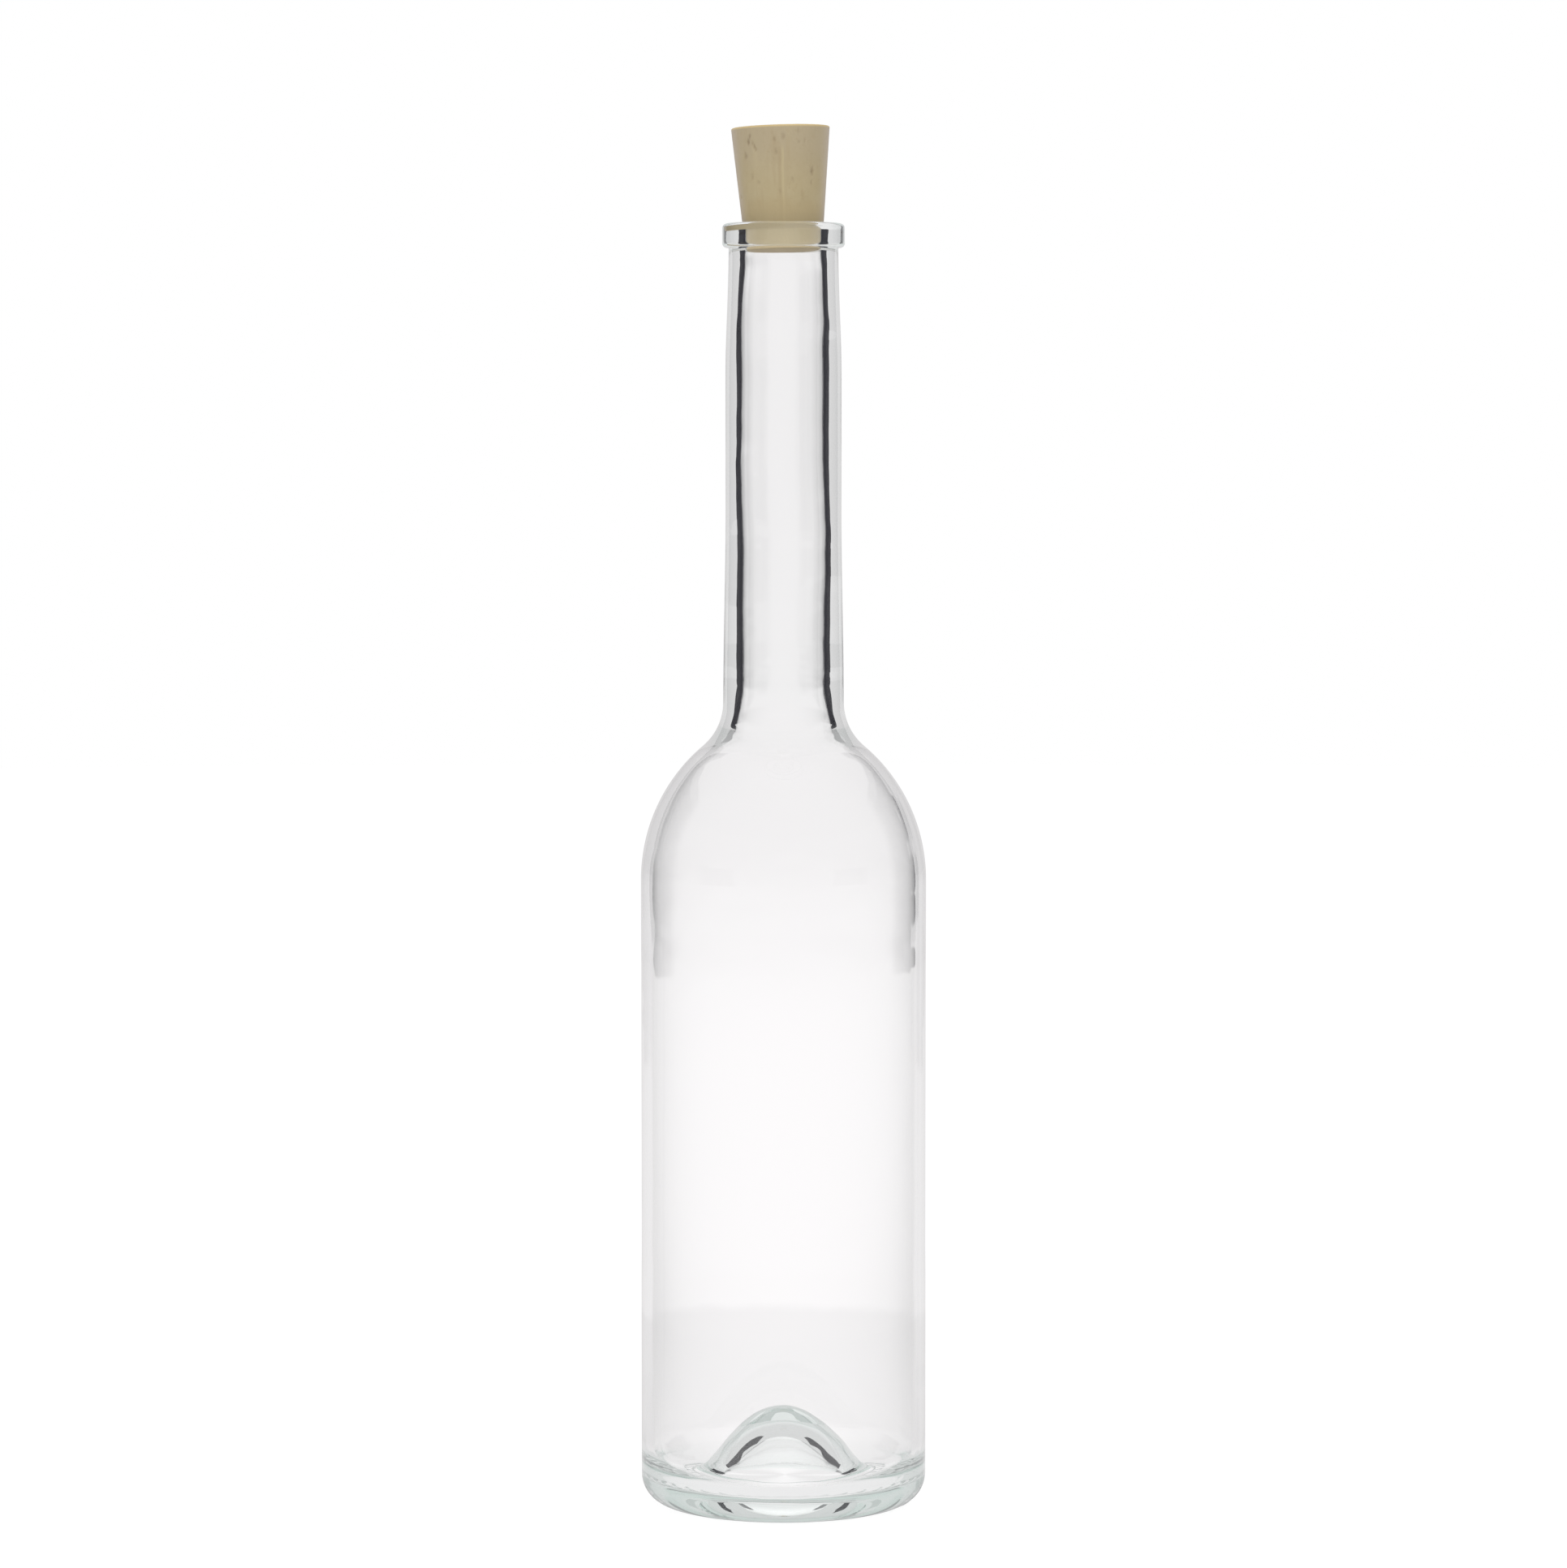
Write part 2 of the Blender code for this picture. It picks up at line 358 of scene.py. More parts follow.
def bottleOutline(b):
    steps = b["steps"]
    lipBottom = b["height"] - b["lipHeight"]
    lipRadius = b["neckTop"] + b["lipOverhang"]
    ringOuter = b["bodyRadius"] - b["heelRound"]
    ringInner = ringOuter - b["ringWidth"]
    panelRadius = b["bodyRadius"] - b["panelDepth"]
    upperFoot = b["shoulderBase"] - b["upperBand"]

    # the neck has an even stretch in its middle, and so does its bore
    def neckRuns(foot, middle, top, count):
        length = top[1] - foot[1]
        low = (middle, foot[1] + length * b["swellShare"])
        high = (middle, foot[1] + length * b["taperShare"])
        return joinRuns(
            easeRun(foot, low, round(count * b["swellShare"])),
            lineRun(low, high, round(count * (b["taperShare"] - b["swellShare"]))),
            easeRun(high, top, round(count * (1 - b["taperShare"]))),
        )

    puntReach = ringInner - b["fieldWidth"]
    punt = domeRun(puntReach, b["fieldHeight"], b["puntHeight"], b["puntSlackness"], steps["punt"])
    stepR, stepZ = ringInner - b["ringStep"], b["fieldHeight"] - b["ringStep"]
    field = lineRun(punt[-1], (stepR, b["fieldHeight"]), steps["field"])
    ringStep = arcRun(stepR, stepZ, b["ringStep"], 90, 0, steps["ringStep"])
    ring = joinRuns(
        lineRun(ringStep[-1], (ringInner, 0), 1),
        lineRun((ringInner, 0), (ringOuter, 0), steps["ring"]),
    )
    heel = arcRun(ringOuter, b["heelRound"], b["heelRound"], -90, 0, steps["heel"])
    bandTop = (b["bodyRadius"], b["lowerBand"])
    panelFoot = (panelRadius, b["lowerBand"] + b["panelBevel"])
    panelTop = (panelRadius, upperFoot - b["panelBevel"])
    bandFoot = (b["bodyRadius"], upperFoot)
    body = joinRuns(
        lineRun(heel[-1], bandTop, steps["lowerBand"]),
        easeRun(bandTop, panelFoot, steps["bevel"]),
        lineRun(panelFoot, panelTop, steps["panel"]),
        easeRun(panelTop, bandFoot, steps["bevel"]),
        lineRun(bandFoot, (b["bodyRadius"], b["shoulderBase"]), steps["upperBand"]),
    )

    # the shoulder is a dome whose arc ends in the fillet under the neck
    domeR = b["bodyRadius"] - b["shoulderRound"]
    filletR = b["neckFoot"] + b["neckFillet"]
    reach = b["shoulderRound"] + b["neckFillet"]
    filletZ = b["shoulderBase"] + math.sqrt(reach ** 2 - (filletR - domeR) ** 2)
    domeEnd = math.degrees(math.acos((filletR - domeR) / reach))
    shoulder = joinRuns(
        arcRun(domeR, b["shoulderBase"], b["shoulderRound"], 0, domeEnd, steps["shoulder"]),
        arcRun(filletR, filletZ, b["neckFillet"], 180 + domeEnd, 180, steps["fillet"]),
    )
    neckEnd = (b["neckTop"], lipBottom - b["underLip"])
    neck = neckRuns(shoulder[-1], b["neckMiddle"], neckEnd, steps["neck"])
    underLip = arcRun(b["neckTop"] + b["underLip"], neckEnd[1], b["underLip"], 180, 90, steps["underLip"])
    lipCentre = lipRadius - b["lipRound"]
    lipLow, lipHigh = lipBottom + b["lipRound"], b["height"] - b["lipRound"]
    mouthCentre = b["boreMouth"] + b["mouthRound"]
    lip = joinRuns(
        lineRun(underLip[-1], (lipCentre, lipBottom), steps["lipFlat"]),
        arcRun(lipCentre, lipLow, b["lipRound"], -90, 0, steps["lipRound"]),
        lineRun((lipRadius, lipLow), (lipRadius, lipHigh), steps["lipSide"]),
        arcRun(lipCentre, lipHigh, b["lipRound"], 0, 90, steps["lipRound"]),
        lineRun((lipCentre, b["height"]), (mouthCentre, b["height"]), steps["lipFlat"]),
    )
    mouth = arcRun(mouthCentre, b["height"] - b["mouthRound"], b["mouthRound"], 90, 180, steps["mouth"])
    outside = joinRuns(punt, field, ringStep, ring, heel, body, shoulder, neck, underLip, lip, mouth)

    # inside the shoulder the wall is measured square to the outer face, from the neck's foot down
    innerRadius = b["bodyRadius"] - b["bodyWall"]
    throat, distance = [], 0.0
    for i, point in enumerate(reversed(shoulder)):
        before, after = shoulder[-i] if i else point, shoulder[max(len(shoulder) - 2 - i, 0)]
        distance += math.dist(before, point)
        along = Vector((after[0] - before[0], after[1] - before[1])).normalized()
        wall = fromTable(b["shoulderWalls"], distance)
        throat.append((point[0] + along[1] * wall, point[1] - along[0] * wall))
    throat.reverse()
    bore = neckRuns(throat[-1], b["boreMiddle"], mouth[-1], steps["bore"])
    heelCentre, floorZ = innerRadius - b["innerHeel"], b["floorThickness"]
    innerHeel = arcRun(heelCentre, floorZ + b["innerHeel"], b["innerHeel"], 0, -90, steps["innerHeel"])
    innerFloor = joinRuns(
        domeRun(b["floorReach"], floorZ, b["floorDome"], b["floorSlackness"], steps["floor"]),
        lineRun((b["floorReach"], floorZ), (heelCentre, floorZ), steps["floorEdge"]),
    )
    innerBody = lineRun(throat[0], innerHeel[0], steps["innerWall"])
    inside = joinRuns(reversed(bore), reversed(throat), innerBody, innerHeel, reversed(innerFloor))
    outline = joinRuns(outside, inside)

    # what each point of the outline takes part in: waves, bars, mould lines and the bore's wandering
    weights = {"ripple": [], "bar": [], "seam": [], "aside": []}
    for i, (r, z) in enumerate(outline):
        ripple = bar = seam = aside = 0.0
        if i >= len(outside):
            outline[i] = (r + fromTable(b["boreWander"], z, 1), z)
            aside = fromTable(b["boreWander"], z, 2)
            belowMouth = limitedShare(b["height"] - b["smoothMouth"] - z, b["mouthFade"])
            nearFloor = limitedShare(b["roughTo"] - z, b["roughFade"])
            rough = 1 + (b["floorRipple"] - 1) * nearFloor
            ripple = belowMouth * rough * limitedShare(r, b["axisFade"])
        else:
            if z < samePoint and ringInner <= r <= ringOuter + b["ringMargin"]:
                bar = math.sqrt(math.sin(math.pi * limitedShare(r - ringInner, b["ringWidth"])))
            if r >= ringOuter + b["seamFromRing"] and z <= lipBottom - b["seamToLip"]:
                seam = 1.0
        for key, value in (("ripple", ripple), ("bar", bar), ("seam", seam), ("aside", aside)):
            weights[key].append(value)
    return outline, weights


def buildBottleTree(b, inputs):
    tree, given = treeWithInputs("turnedGlass", inputs)
    grid, onSurface, outward, turn, named = turnNodes(tree, given["Outline"], given["Steps Around"])
    onSurface = calcVector(tree, "ADD", onSurface, joinVector(tree, named("aside"), 0.0, 0.0))
    shifted = calcVector(tree, "ADD", onSurface, joinVector(tree, given["Seed"], 0.0, 0.0))
    # long slow waves and short ones, both closer together along the bottle than round it
    stretched = calcVector(tree, "MULTIPLY", shifted, (1.0, 1.0, b["wavesAlong"]))
    longWave = aroundZero(tree, noise(tree, stretched, b["longWaves"], 1.0))
    shortWave = aroundZero(tree, noise(tree, stretched, b["shortWaves"], 2.0))
    waves = calc(tree, "ADD",
                 calc(tree, "MULTIPLY", longWave, given["Long Ripple"]),
                 calc(tree, "MULTIPLY", shortWave, given["Short Ripple"]))
    waves = calc(tree, "MULTIPLY", waves, named("ripple"))
    # two mould seams, half a turn apart: sine of the angle from the seam times the radius is the distance
    parts = splitVector(tree, onSurface)
    radius = lengthOf(tree, parts["X"], parts["Y"])
    fromSeam = calc(tree, "SUBTRACT", turn, given["Seam Angle"])
    distance = calc(tree, "MULTIPLY", calc(tree, "ABSOLUTE", calc(tree, "SINE", fromSeam)), radius)
    seam = ramp(tree, distance, given["Seam Width"], 0.0)
    seam = calc(tree, "MULTIPLY", calc(tree, "MULTIPLY", seam, given["Seam Height"]), named("seam"))
    fromParting = calc(tree, "ABSOLUTE", calc(tree, "SUBTRACT", parts["Z"], given["Parting Z"]))
    parting = ramp(tree, fromParting, given["Parting Width"], 0.0)
    parting = calc(tree, "MULTIPLY", calc(tree, "MULTIPLY", parting, given["Parting Height"]), named("seam"))
    # plain short bars round the standing ring
    wave = calc(tree, "COSINE", calc(tree, "MULTIPLY", turn, given["Bar Count"]))
    groove = ramp(tree, wave, -b["barEdge"], b["barEdge"])
    groove = calc(tree, "MULTIPLY", groove, given["Bar Depth"])
    groove = calc(tree, "MULTIPLY", groove, named("bar"))
    lift = calc(tree, "SUBTRACT", calc(tree, "ADD", calc(tree, "ADD", waves, seam), parting), groove)
    shape = finishNodes(tree, grid, onSurface, outward, lift, given["Weld"])
    endTree(tree, shape, given["Material"])
    return tree


def makeGlass(b):
    material, tree = newMaterial("clearBottleGlass")
    shader = tree.nodes["Principled BSDF"]
    output = tree.nodes["Material Output"]
    shader.inputs["Base Color"].default_value = (1.0, 1.0, 1.0, 1.0)
    shader.inputs["Transmission Weight"].default_value = 1.0
    shader.inputs["IOR"].default_value = b["ior"]
    shader.inputs["Roughness"].default_value = b["roughness"]
    # light from the lamps passes the glass, so that the cork and the floor behind it stay lit
    through = addNode(tree, "ShaderNodeBsdfTransparent", {"Color": b["lampTint"]})
    light = tree.nodes.new("ShaderNodeLightPath")
    # light that has turned three times inside the glass leaves it, instead of staying in it for good
    lost = atLeast(tree, light.outputs["Glossy Depth"], b["freedAtTurn"])
    freed = addNode(tree, "ShaderNodeMixShader", {
        0: lost, 1: shader.outputs[0], 2: tree.nodes.new("ShaderNodeBsdfTransparent").outputs[0],
    })
    mixed = addNode(tree, "ShaderNodeMixShader", {
        0: light.outputs["Is Shadow Ray"], 1: freed.outputs[0], 2: through.outputs[0],
    })
    tree.links.new(mixed.outputs[0], output.inputs["Surface"])
    tint = addNode(tree, "ShaderNodeVolumeAbsorption", {
        "Color": b["absorb"], "Density": b["density"],
    })
    tree.links.new(tint.outputs[0], output.inputs["Volume"])
    return material


glassInputs = {
    "Steps Around": bottle["stepsAround"], "Weld": weldDistance,
    "Long Ripple": bottle["longRipple"], "Short Ripple": bottle["shortRipple"],
    "Seam Height": bottle["seamHeight"], "Seam Width": bottle["seamWidth"],
    "Seam Angle": math.radians(bottle["seamAngle"] - 90),
    "Parting Height": bottle["partingHeight"], "Parting Width": bottle["partingWidth"],
    "Parting Z": bottle["partingZ"], "Bar Count": bottle["barCount"], "Bar Depth": bottle["barDepth"],
    "Seed": bottle["seed"], "Material": makeGlass(bottle),
}
glassLine = outlineObject("bottleOutline", *bottleOutline(bottle))
glassPiece = meshFromTree("bottle", glassLine, buildBottleTree(bottle, glassInputs), glassInputs)
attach(glassPiece, "bottle")
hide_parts("glass_bottle")
print("glass bottle made")


# The cork

cork = dict(
    length=0.0256, seatDepth=0.0054, topRadius=0.01035, squeeze=0.00066, squeezeLength=0.0014,
    plugTaper=0.0001, edgeRound=0.00035, clearance=0.00010, tilt=1.67,
    stepsAround=300, rowHeight=0.00022,
    steps=dict(foot=14, footRound=4, topRound=5, top=40),
    grainHeight=0.00006, grainScale=900.0, grainDetail=3.0, grainRoughness=0.6, smoothMiddle=0.002,
    poreDepth=0.00025, poreSize=0.0006, poreSpacing=0.0032, poreDensity=60000.0, poreLength=2.0, seed=3,
    poreSizes=(0.25, 1.0), poreTones=(0.25, 0.9), poreEdge=(1.15, 0.1),
    poreWobble=0.0011, wobbleScale=1100.0, wobbleDetail=3.0,
    frontFrom=-0.0045,    # nearer the viewer than this, each pore has its own place:
    # millimetres right of the middle, above the mouth, half width, and depth of tone
    frontPores=(
        (-6.5, 17.9, 0.42, 0.80), (-6.8, 16.9, 0.50, 1.00), (-5.9, 16.5, 0.38, 0.60),
        (-5.5, 15.8, 0.42, 0.70), (-5.2, 15.3, 0.30, 0.60), (-7.4, 14.2, 0.55, 0.65),
        (-1.3, 17.1, 0.40, 0.40), (0.5, 17.7, 0.50, 0.45), (-1.0, 14.6, 0.50, 0.40),
        (3.7, 18.8, 0.45, 0.30), (5.0, 16.8, 0.40, 0.35), (3.8, 16.5, 0.30, 0.35),
        (6.4, 10.4, 0.62, 0.80), (6.1, 8.2, 0.38, 0.45), (-6.2, 9.5, 0.40, 0.30),
        (-4.8, 8.3, 0.36, 0.35), (2.2, 8.7, 0.45, 0.35), (-0.5, 6.4, 0.40, 0.25),
    ),
    roughness=0.88, bump=0.35, bumpDepth=0.0001,
    colours=dict(
        base=(0.368, 0.300, 0.174, 1.0), pale=(0.415, 0.345, 0.214, 1.0), brown=(0.300, 0.225, 0.120, 1.0),
        upper=(0.372, 0.308, 0.205, 1.0), damp=(0.385, 0.306, 0.172, 1.0), pore=(0.170, 0.118, 0.062, 1.0),
        # the rim colour is a painted highlight and the edge colour a painted sheen; the plug and foot colours
        # are painted light for the cork below the mouth
        rim=(0.600, 0.455, 0.215, 1.0), edge=(0.455, 0.395, 0.335, 1.0), line=(0.440, 0.365, 0.215, 1.0),
        plug=(0.655, 0.545, 0.355, 1.0), foot=(0.720, 0.565, 0.340, 1.0),
    ),
    # the bark's patterns: scale, detail, roughness, and their closeness along the cork
    patterns=dict(
        cloud=(150.0, 3.0, 0.55, 1.0), streak=(430.0, 3.0, 0.6, 0.12), lightStreak=(260.0, 2.0, 0.5, 0.10),
        smudge=(420.0, 3.0, 0.6, 0.5), speck=(1400.0, 2.0, 0.6, 1.0),
    ),
    # colours laid over the base in turn: by a pattern or the height, from, to, which colour, how strong
    layers=(
        ("cloud", 0.35, 0.70, "pale", 0.6), ("height", 0.006, 0.018, "upper", 0.85),
        ("lightStreak", 0.52, 0.75, "pale", 0.45), ("streak", 0.50, 0.75, "brown", 0.30),
        ("smudge", 0.58, 0.75, "brown", 0.35), ("speck", 0.56, 0.74, "brown", 0.18),
    ),
    # growth lines down the front: right of the middle by, half width, which colour, how strong
    growthLines=((0.0002, 0.0004, "line", 0.5), (-0.0004, 0.0006, "brown", 0.30)),
    lineCore=0.0001, lineWander=0.0006, lineFront=(-0.004, -0.006), lineTop=(0.0165, 0.0145),
    # the last pair here places the painted sheen on the sides; the next line places the painted light below
    # the mouth and the painted highlight on the top rim
    dampWander=0.004, dampEdge=(0.0060, 0.0025), paintedSheenEdge=(0.35, 0.95),
    plugPaintedLight=(0.0002, -0.0006), footPaintedLight=(0.0014, 0.0008), rimHighlightEdge=(-0.0006, -0.0001),
    shares=dict(damp=0.75, edge=0.75, pore=0.62, plug=0.9, foot=0.8, rim=0.8),
)


def corkOutline(c, b):
    steps = c["steps"]
    plugRadius = b["boreMouth"] - c["clearance"]
    footRadius = plugRadius - c["plugTaper"]
    freeRadius = plugRadius + c["squeeze"]
    footZ = -c["seatDepth"]
    topZ = c["length"] - c["seatDepth"]
    lean = math.degrees(math.atan2(c["topRadius"] - freeRadius, topZ))
    roundR = c["edgeRound"]

    def rows(length):
        return max(2, round(length / c["rowHeight"]))

    foot = arcRun(footRadius - roundR, footZ + roundR, roundR, -90, 0, steps["footRound"])
    waist = (plugRadius, -c["squeezeLength"])
    free = (freeRadius, 0)
    top = arcRun(c["topRadius"] - roundR, topZ - roundR, roundR, -lean, 90, steps["topRound"])
    outline = joinRuns(
        lineRun((0, footZ), foot[0], steps["foot"]),
        foot,
        lineRun(foot[-1], waist, rows(waist[1] - foot[-1][1])),
        lineRun(waist, free, rows(-waist[1])),
        lineRun(free, top[0], rows(top[0][1])),
        top,
        lineRun(top[-1], (0, topZ), steps["top"]),
    )
    return outline, {"rough": [limitedShare(r, c["smoothMiddle"]) for r, z in outline]}


def buildCorkTree(c, inputs):
    tree, given = treeWithInputs("turnedCork", inputs)
    grid, onSurface, outward, _, named = turnNodes(tree, given["Outline"], given["Steps Around"])

    def stored(geometry, key, value):
        made = addNode(tree, "GeometryNodeStoreNamedAttribute", {
            "Geometry": geometry, "Name": key, "Value": value,
        }, data_type="FLOAT", domain="POINT")
        return made.outputs["Geometry"]

    plain = addNode(tree, "GeometryNodeSetPosition", {"Geometry": grid, "Position": onSurface})
    weldedPlain = addNode(tree, "GeometryNodeMergeByDistance", {
        "Geometry": plain.outputs["Geometry"], "Distance": given["Weld"],
    }).outputs["Geometry"]
    scattered = addNode(tree, "GeometryNodeDistributePointsOnFaces", {
        "Mesh": weldedPlain, "Distance Min": given["Pore Spacing"], "Density Max": c["poreDensity"],
        "Density Factor": 1.0, "Seed": given["Seed"],
    }, distribute_method="POISSON")
    # scattered pores stay off the side that the viewer sees, where each has its own place
    ownPlace = addNode(tree, "GeometryNodeInputPosition").outputs[0]
    atFront = calc(tree, "LESS_THAN", splitVector(tree, ownPlace)["Y"], c["frontFrom"])
    kept = addNode(tree, "GeometryNodeDeleteGeometry", {
        "Geometry": scattered.outputs["Points"], "Selection": atFront,
    }, domain="POINT")
    smallest, largest = c["poreSizes"]
    randomSize = addNode(tree, "FunctionNodeRandomValue", {
        "Min": smallest, "Max": largest, "Seed": given["Seed"],
    }, data_type="FLOAT")
    ownSize = calc(tree, "MULTIPLY", calc(tree, "POWER", randomSize.outputs[1], 2.0), given["Pore Size"])
    sized = stored(kept.outputs["Geometry"], "size", ownSize)
    faintest, deepest = c["poreTones"]
    randomTone = addNode(tree, "FunctionNodeRandomValue", {
        "Min": faintest, "Max": deepest, "Seed": calc(tree, "ADD", given["Seed"], 1),
    }, data_type="FLOAT")
    toned = stored(sized, "tone", randomTone.outputs[1])
    front = addNode(tree, "GeometryNodeObjectInfo", {
        "Object": given["Front Pores"],
    }, transform_space="ORIGINAL")
    frontPoints = addNode(tree, "GeometryNodeMeshToPoints", {"Mesh": front.outputs["Geometry"]})
    pores = addNode(tree, "GeometryNodeJoinGeometry")
    tree.links.new(toned, pores.inputs[0])
    tree.links.new(frontPoints.outputs["Points"], pores.inputs[0])
    # pores are longer along the cork: distances are taken in a space that is shorter that way
    shorter = joinVector(tree, 1.0, 1.0, calc(tree, "DIVIDE", 1.0, given["Pore Length"]))
    squashed = addNode(tree, "GeometryNodeSetPosition", {
        "Geometry": pores.outputs[0], "Position": calcVector(tree, "MULTIPLY", ownPlace, shorter),
    }).outputs["Geometry"]
    # wobbled place, so that no pore is round
    wobble = addNode(tree, "ShaderNodeTexNoise", {
        "Vector": onSurface, "Scale": c["wobbleScale"], "Detail": c["wobbleDetail"],
    })
    offset = calcVector(tree, "SUBTRACT", wobble.outputs["Color"], (0.5, 0.5, 0.5))
    offset = scaled(tree, offset, c["poreWobble"])
    wobbled = calcVector(tree, "MULTIPLY", calcVector(tree, "ADD", onSurface, offset), shorter)
    near = addNode(tree, "GeometryNodeProximity", target_element="POINTS")
    plug(tree, squashed, near.inputs[0])
    positionSocket = next(s for s in near.inputs if s.name in ("Sample Position", "Source Position"))
    plug(tree, wobbled, positionSocket)
    index = addNode(tree, "GeometryNodeSampleNearest", {"Sample Position": wobbled}, domain="POINT")
    plug(tree, squashed, index.inputs[0])

    def atPore(key):
        value = addNode(tree, "GeometryNodeInputNamedAttribute", {"Name": key}, data_type="FLOAT")
        made = addNode(tree, "GeometryNodeSampleIndex", {
            "Geometry": squashed, "Index": index.outputs[0],
        }, data_type="FLOAT", domain="POINT")
        plug(tree, value.outputs["Attribute"], made.inputs["Value"])
        return made.outputs["Value"]

    share = calc(tree, "DIVIDE", near.outputs["Distance"], atPore("size"))
    pore = calc(tree, "MULTIPLY", ramp(tree, share, *c["poreEdge"]), atPore("tone"))
    grain = aroundZero(tree, noise(tree, onSurface, c["grainScale"], c["grainDetail"], c["grainRoughness"]))
    grain = calc(tree, "MULTIPLY", calc(tree, "MULTIPLY", grain, given["Grain Height"]), named("rough"))
    lift = calc(tree, "SUBTRACT", grain, calc(tree, "MULTIPLY", pore, given["Pore Depth"]))
    shape = finishNodes(tree, stored(grid, "pore", pore), onSurface, outward, lift, given["Weld"])
    endTree(tree, shape, given["Material"])
    return tree


def makeCorkLook(c, mouthZ):
    material, tree = newMaterial("naturalCork")
    shader = tree.nodes["Principled BSDF"]
    place = tree.nodes.new("ShaderNodeTexCoord").outputs["Object"]
    parts = splitVector(tree, place)
    height = calc(tree, "SUBTRACT", parts["Z"], mouthZ)
    lean = math.tan(math.radians(c["tilt"]))

    def pattern(key):
        scale, detail, roughness, along = c["patterns"][key]
        drawn = place if along == 1 else calcVector(tree, "MULTIPLY", place, (1.0, 1.0, along))
        return noise(tree, drawn, scale, detail, roughness)

    def wandering(value, by, distance):
        return calc(tree, "ADD", value, calc(tree, "MULTIPLY", aroundZero(tree, by), distance))

    def lay(colour, factor, key, share):
        return mixColour(tree, calc(tree, "MULTIPLY", factor, share), colour, c["colours"][key])

    fields = {key: pattern(key) for key in c["patterns"]}
    fields["height"] = height
    colour = c["colours"]["base"]
    for key, low, high, tint, share in c["layers"]:
        colour = lay(colour, ramp(tree, fields[key], low, high), tint, share)
    # one pale growth line down the front, with a browner strip on its left
    across = calc(tree, "ADD", parts["X"], calc(tree, "MULTIPLY", height, lean))
    across = wandering(across, fields["cloud"], c["lineWander"])
    atFront = ramp(tree, parts["Y"], *c["lineFront"])
    along = calc(tree, "MULTIPLY", atFront, ramp(tree, height, *c["lineTop"]))
    for middle, halfWidth, tint, share in c["growthLines"]:
        off = calc(tree, "ABSOLUTE", calc(tree, "SUBTRACT", across, middle))
        line = calc(tree, "MULTIPLY", ramp(tree, off, halfWidth, c["lineCore"]), along)
        colour = lay(colour, line, tint, share)
    dampHeight = wandering(height, fields["smudge"], c["dampWander"])
    facing = addNode(tree, "ShaderNodeLayerWeight", {"Blend": 0.5}).outputs["Facing"]
    pore = addNode(tree, "ShaderNodeAttribute", attribute_name="pore").outputs["Fac"]
    # below the mouth the cork is painted paler, and palest at its foot: painted light that makes up for the
    # light the glass takes from it
    footHigh, footLow = (edge - c["seatDepth"] for edge in c["footPaintedLight"])
    # the sharp top rim is painted lighter and yellower: a painted highlight, as if lit from above
    highlightLow, highlightHigh = (edge + c["length"] - c["seatDepth"] for edge in c["rimHighlightEdge"])
    alongTop = calc(tree, "SUBTRACT", height, calc(tree, "MULTIPLY", parts["X"], lean))
    for key, factor in (
        ("damp", ramp(tree, dampHeight, *c["dampEdge"])),
        # the sides that turn from the viewer are painted paler and greyer: a painted sheen
        ("edge", ramp(tree, facing, *c["paintedSheenEdge"])),
        ("pore", pore),
        ("plug", ramp(tree, height, *c["plugPaintedLight"])),
        ("foot", ramp(tree, height, footHigh, footLow)),
        ("rim", ramp(tree, alongTop, highlightLow, highlightHigh)),
    ):
        colour = lay(colour, factor, key, c["shares"][key])
    tree.links.new(colour, shader.inputs["Base Color"])
    shader.inputs["Roughness"].default_value = c["roughness"]
    bump = addNode(tree, "ShaderNodeBump", {
        "Strength": c["bump"], "Distance": c["bumpDepth"], "Height": fields["speck"],
    })
    tree.links.new(bump.outputs["Normal"], shader.inputs["Normal"])
    return material


def frontPoreObject(c, b):
    topZ = c["length"] - c["seatDepth"]
    freeRadius = b["boreMouth"] - c["clearance"] + c["squeeze"]
    millimetres = 1000
    points = []
    for across, height, _, _ in c["frontPores"]:
        side, z = across / millimetres, height / millimetres
        radius = freeRadius + (c["topRadius"] - freeRadius) * z / topZ
        points.append((side, -math.sqrt(radius ** 2 - side ** 2), z))
    mesh = bpy.data.meshes.new("frontPores")
    mesh.from_pydata(points, [], [])
    for key, column, unit in (("size", 2, millimetres), ("tone", 3, 1)):
        layer = mesh.attributes.new(key, "FLOAT", "POINT")
        layer.data.foreach_set("value", [p[column] / unit for p in c["frontPores"]])
    made = bpy.data.objects.new("frontPores", mesh)
    scene.collection.objects.link(made)
    return made


frontPores = frontPoreObject(cork, bottle)
corkInputs = {
    "Steps Around": cork["stepsAround"], "Weld": weldDistance,
    "Grain Height": cork["grainHeight"], "Pore Depth": cork["poreDepth"], "Pore Size": cork["poreSize"],
    "Pore Spacing": cork["poreSpacing"], "Pore Length": cork["poreLength"], "Seed": cork["seed"],
    "Front Pores": frontPores, "Material": makeCorkLook(cork, bottle["height"]),
}
corkLine = outlineObject("corkOutline", *corkOutline(cork, bottle))
corkPiece = meshFromTree("cork", corkLine, buildCorkTree(cork, corkInputs), corkInputs)
bpy.data.objects.remove(frontPores)
# the cork leans to the left about a point half way down its plug
tilt = math.radians(cork["tilt"])
halfPlug = cork["seatDepth"] / 2
pivot = Vector((-halfPlug * math.sin(tilt), 0, bottle["height"] - halfPlug + halfPlug * math.cos(tilt)))
corkPiece.data.transform(Matrix.Translation(pivot) @ Matrix.Rotation(-tilt, 4, "Y"))
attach(corkPiece, "cork")
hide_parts("cork_stopper")
print("cork made")


# Studio: a white sweep behind and below, two dark cards at each side, soft lamps

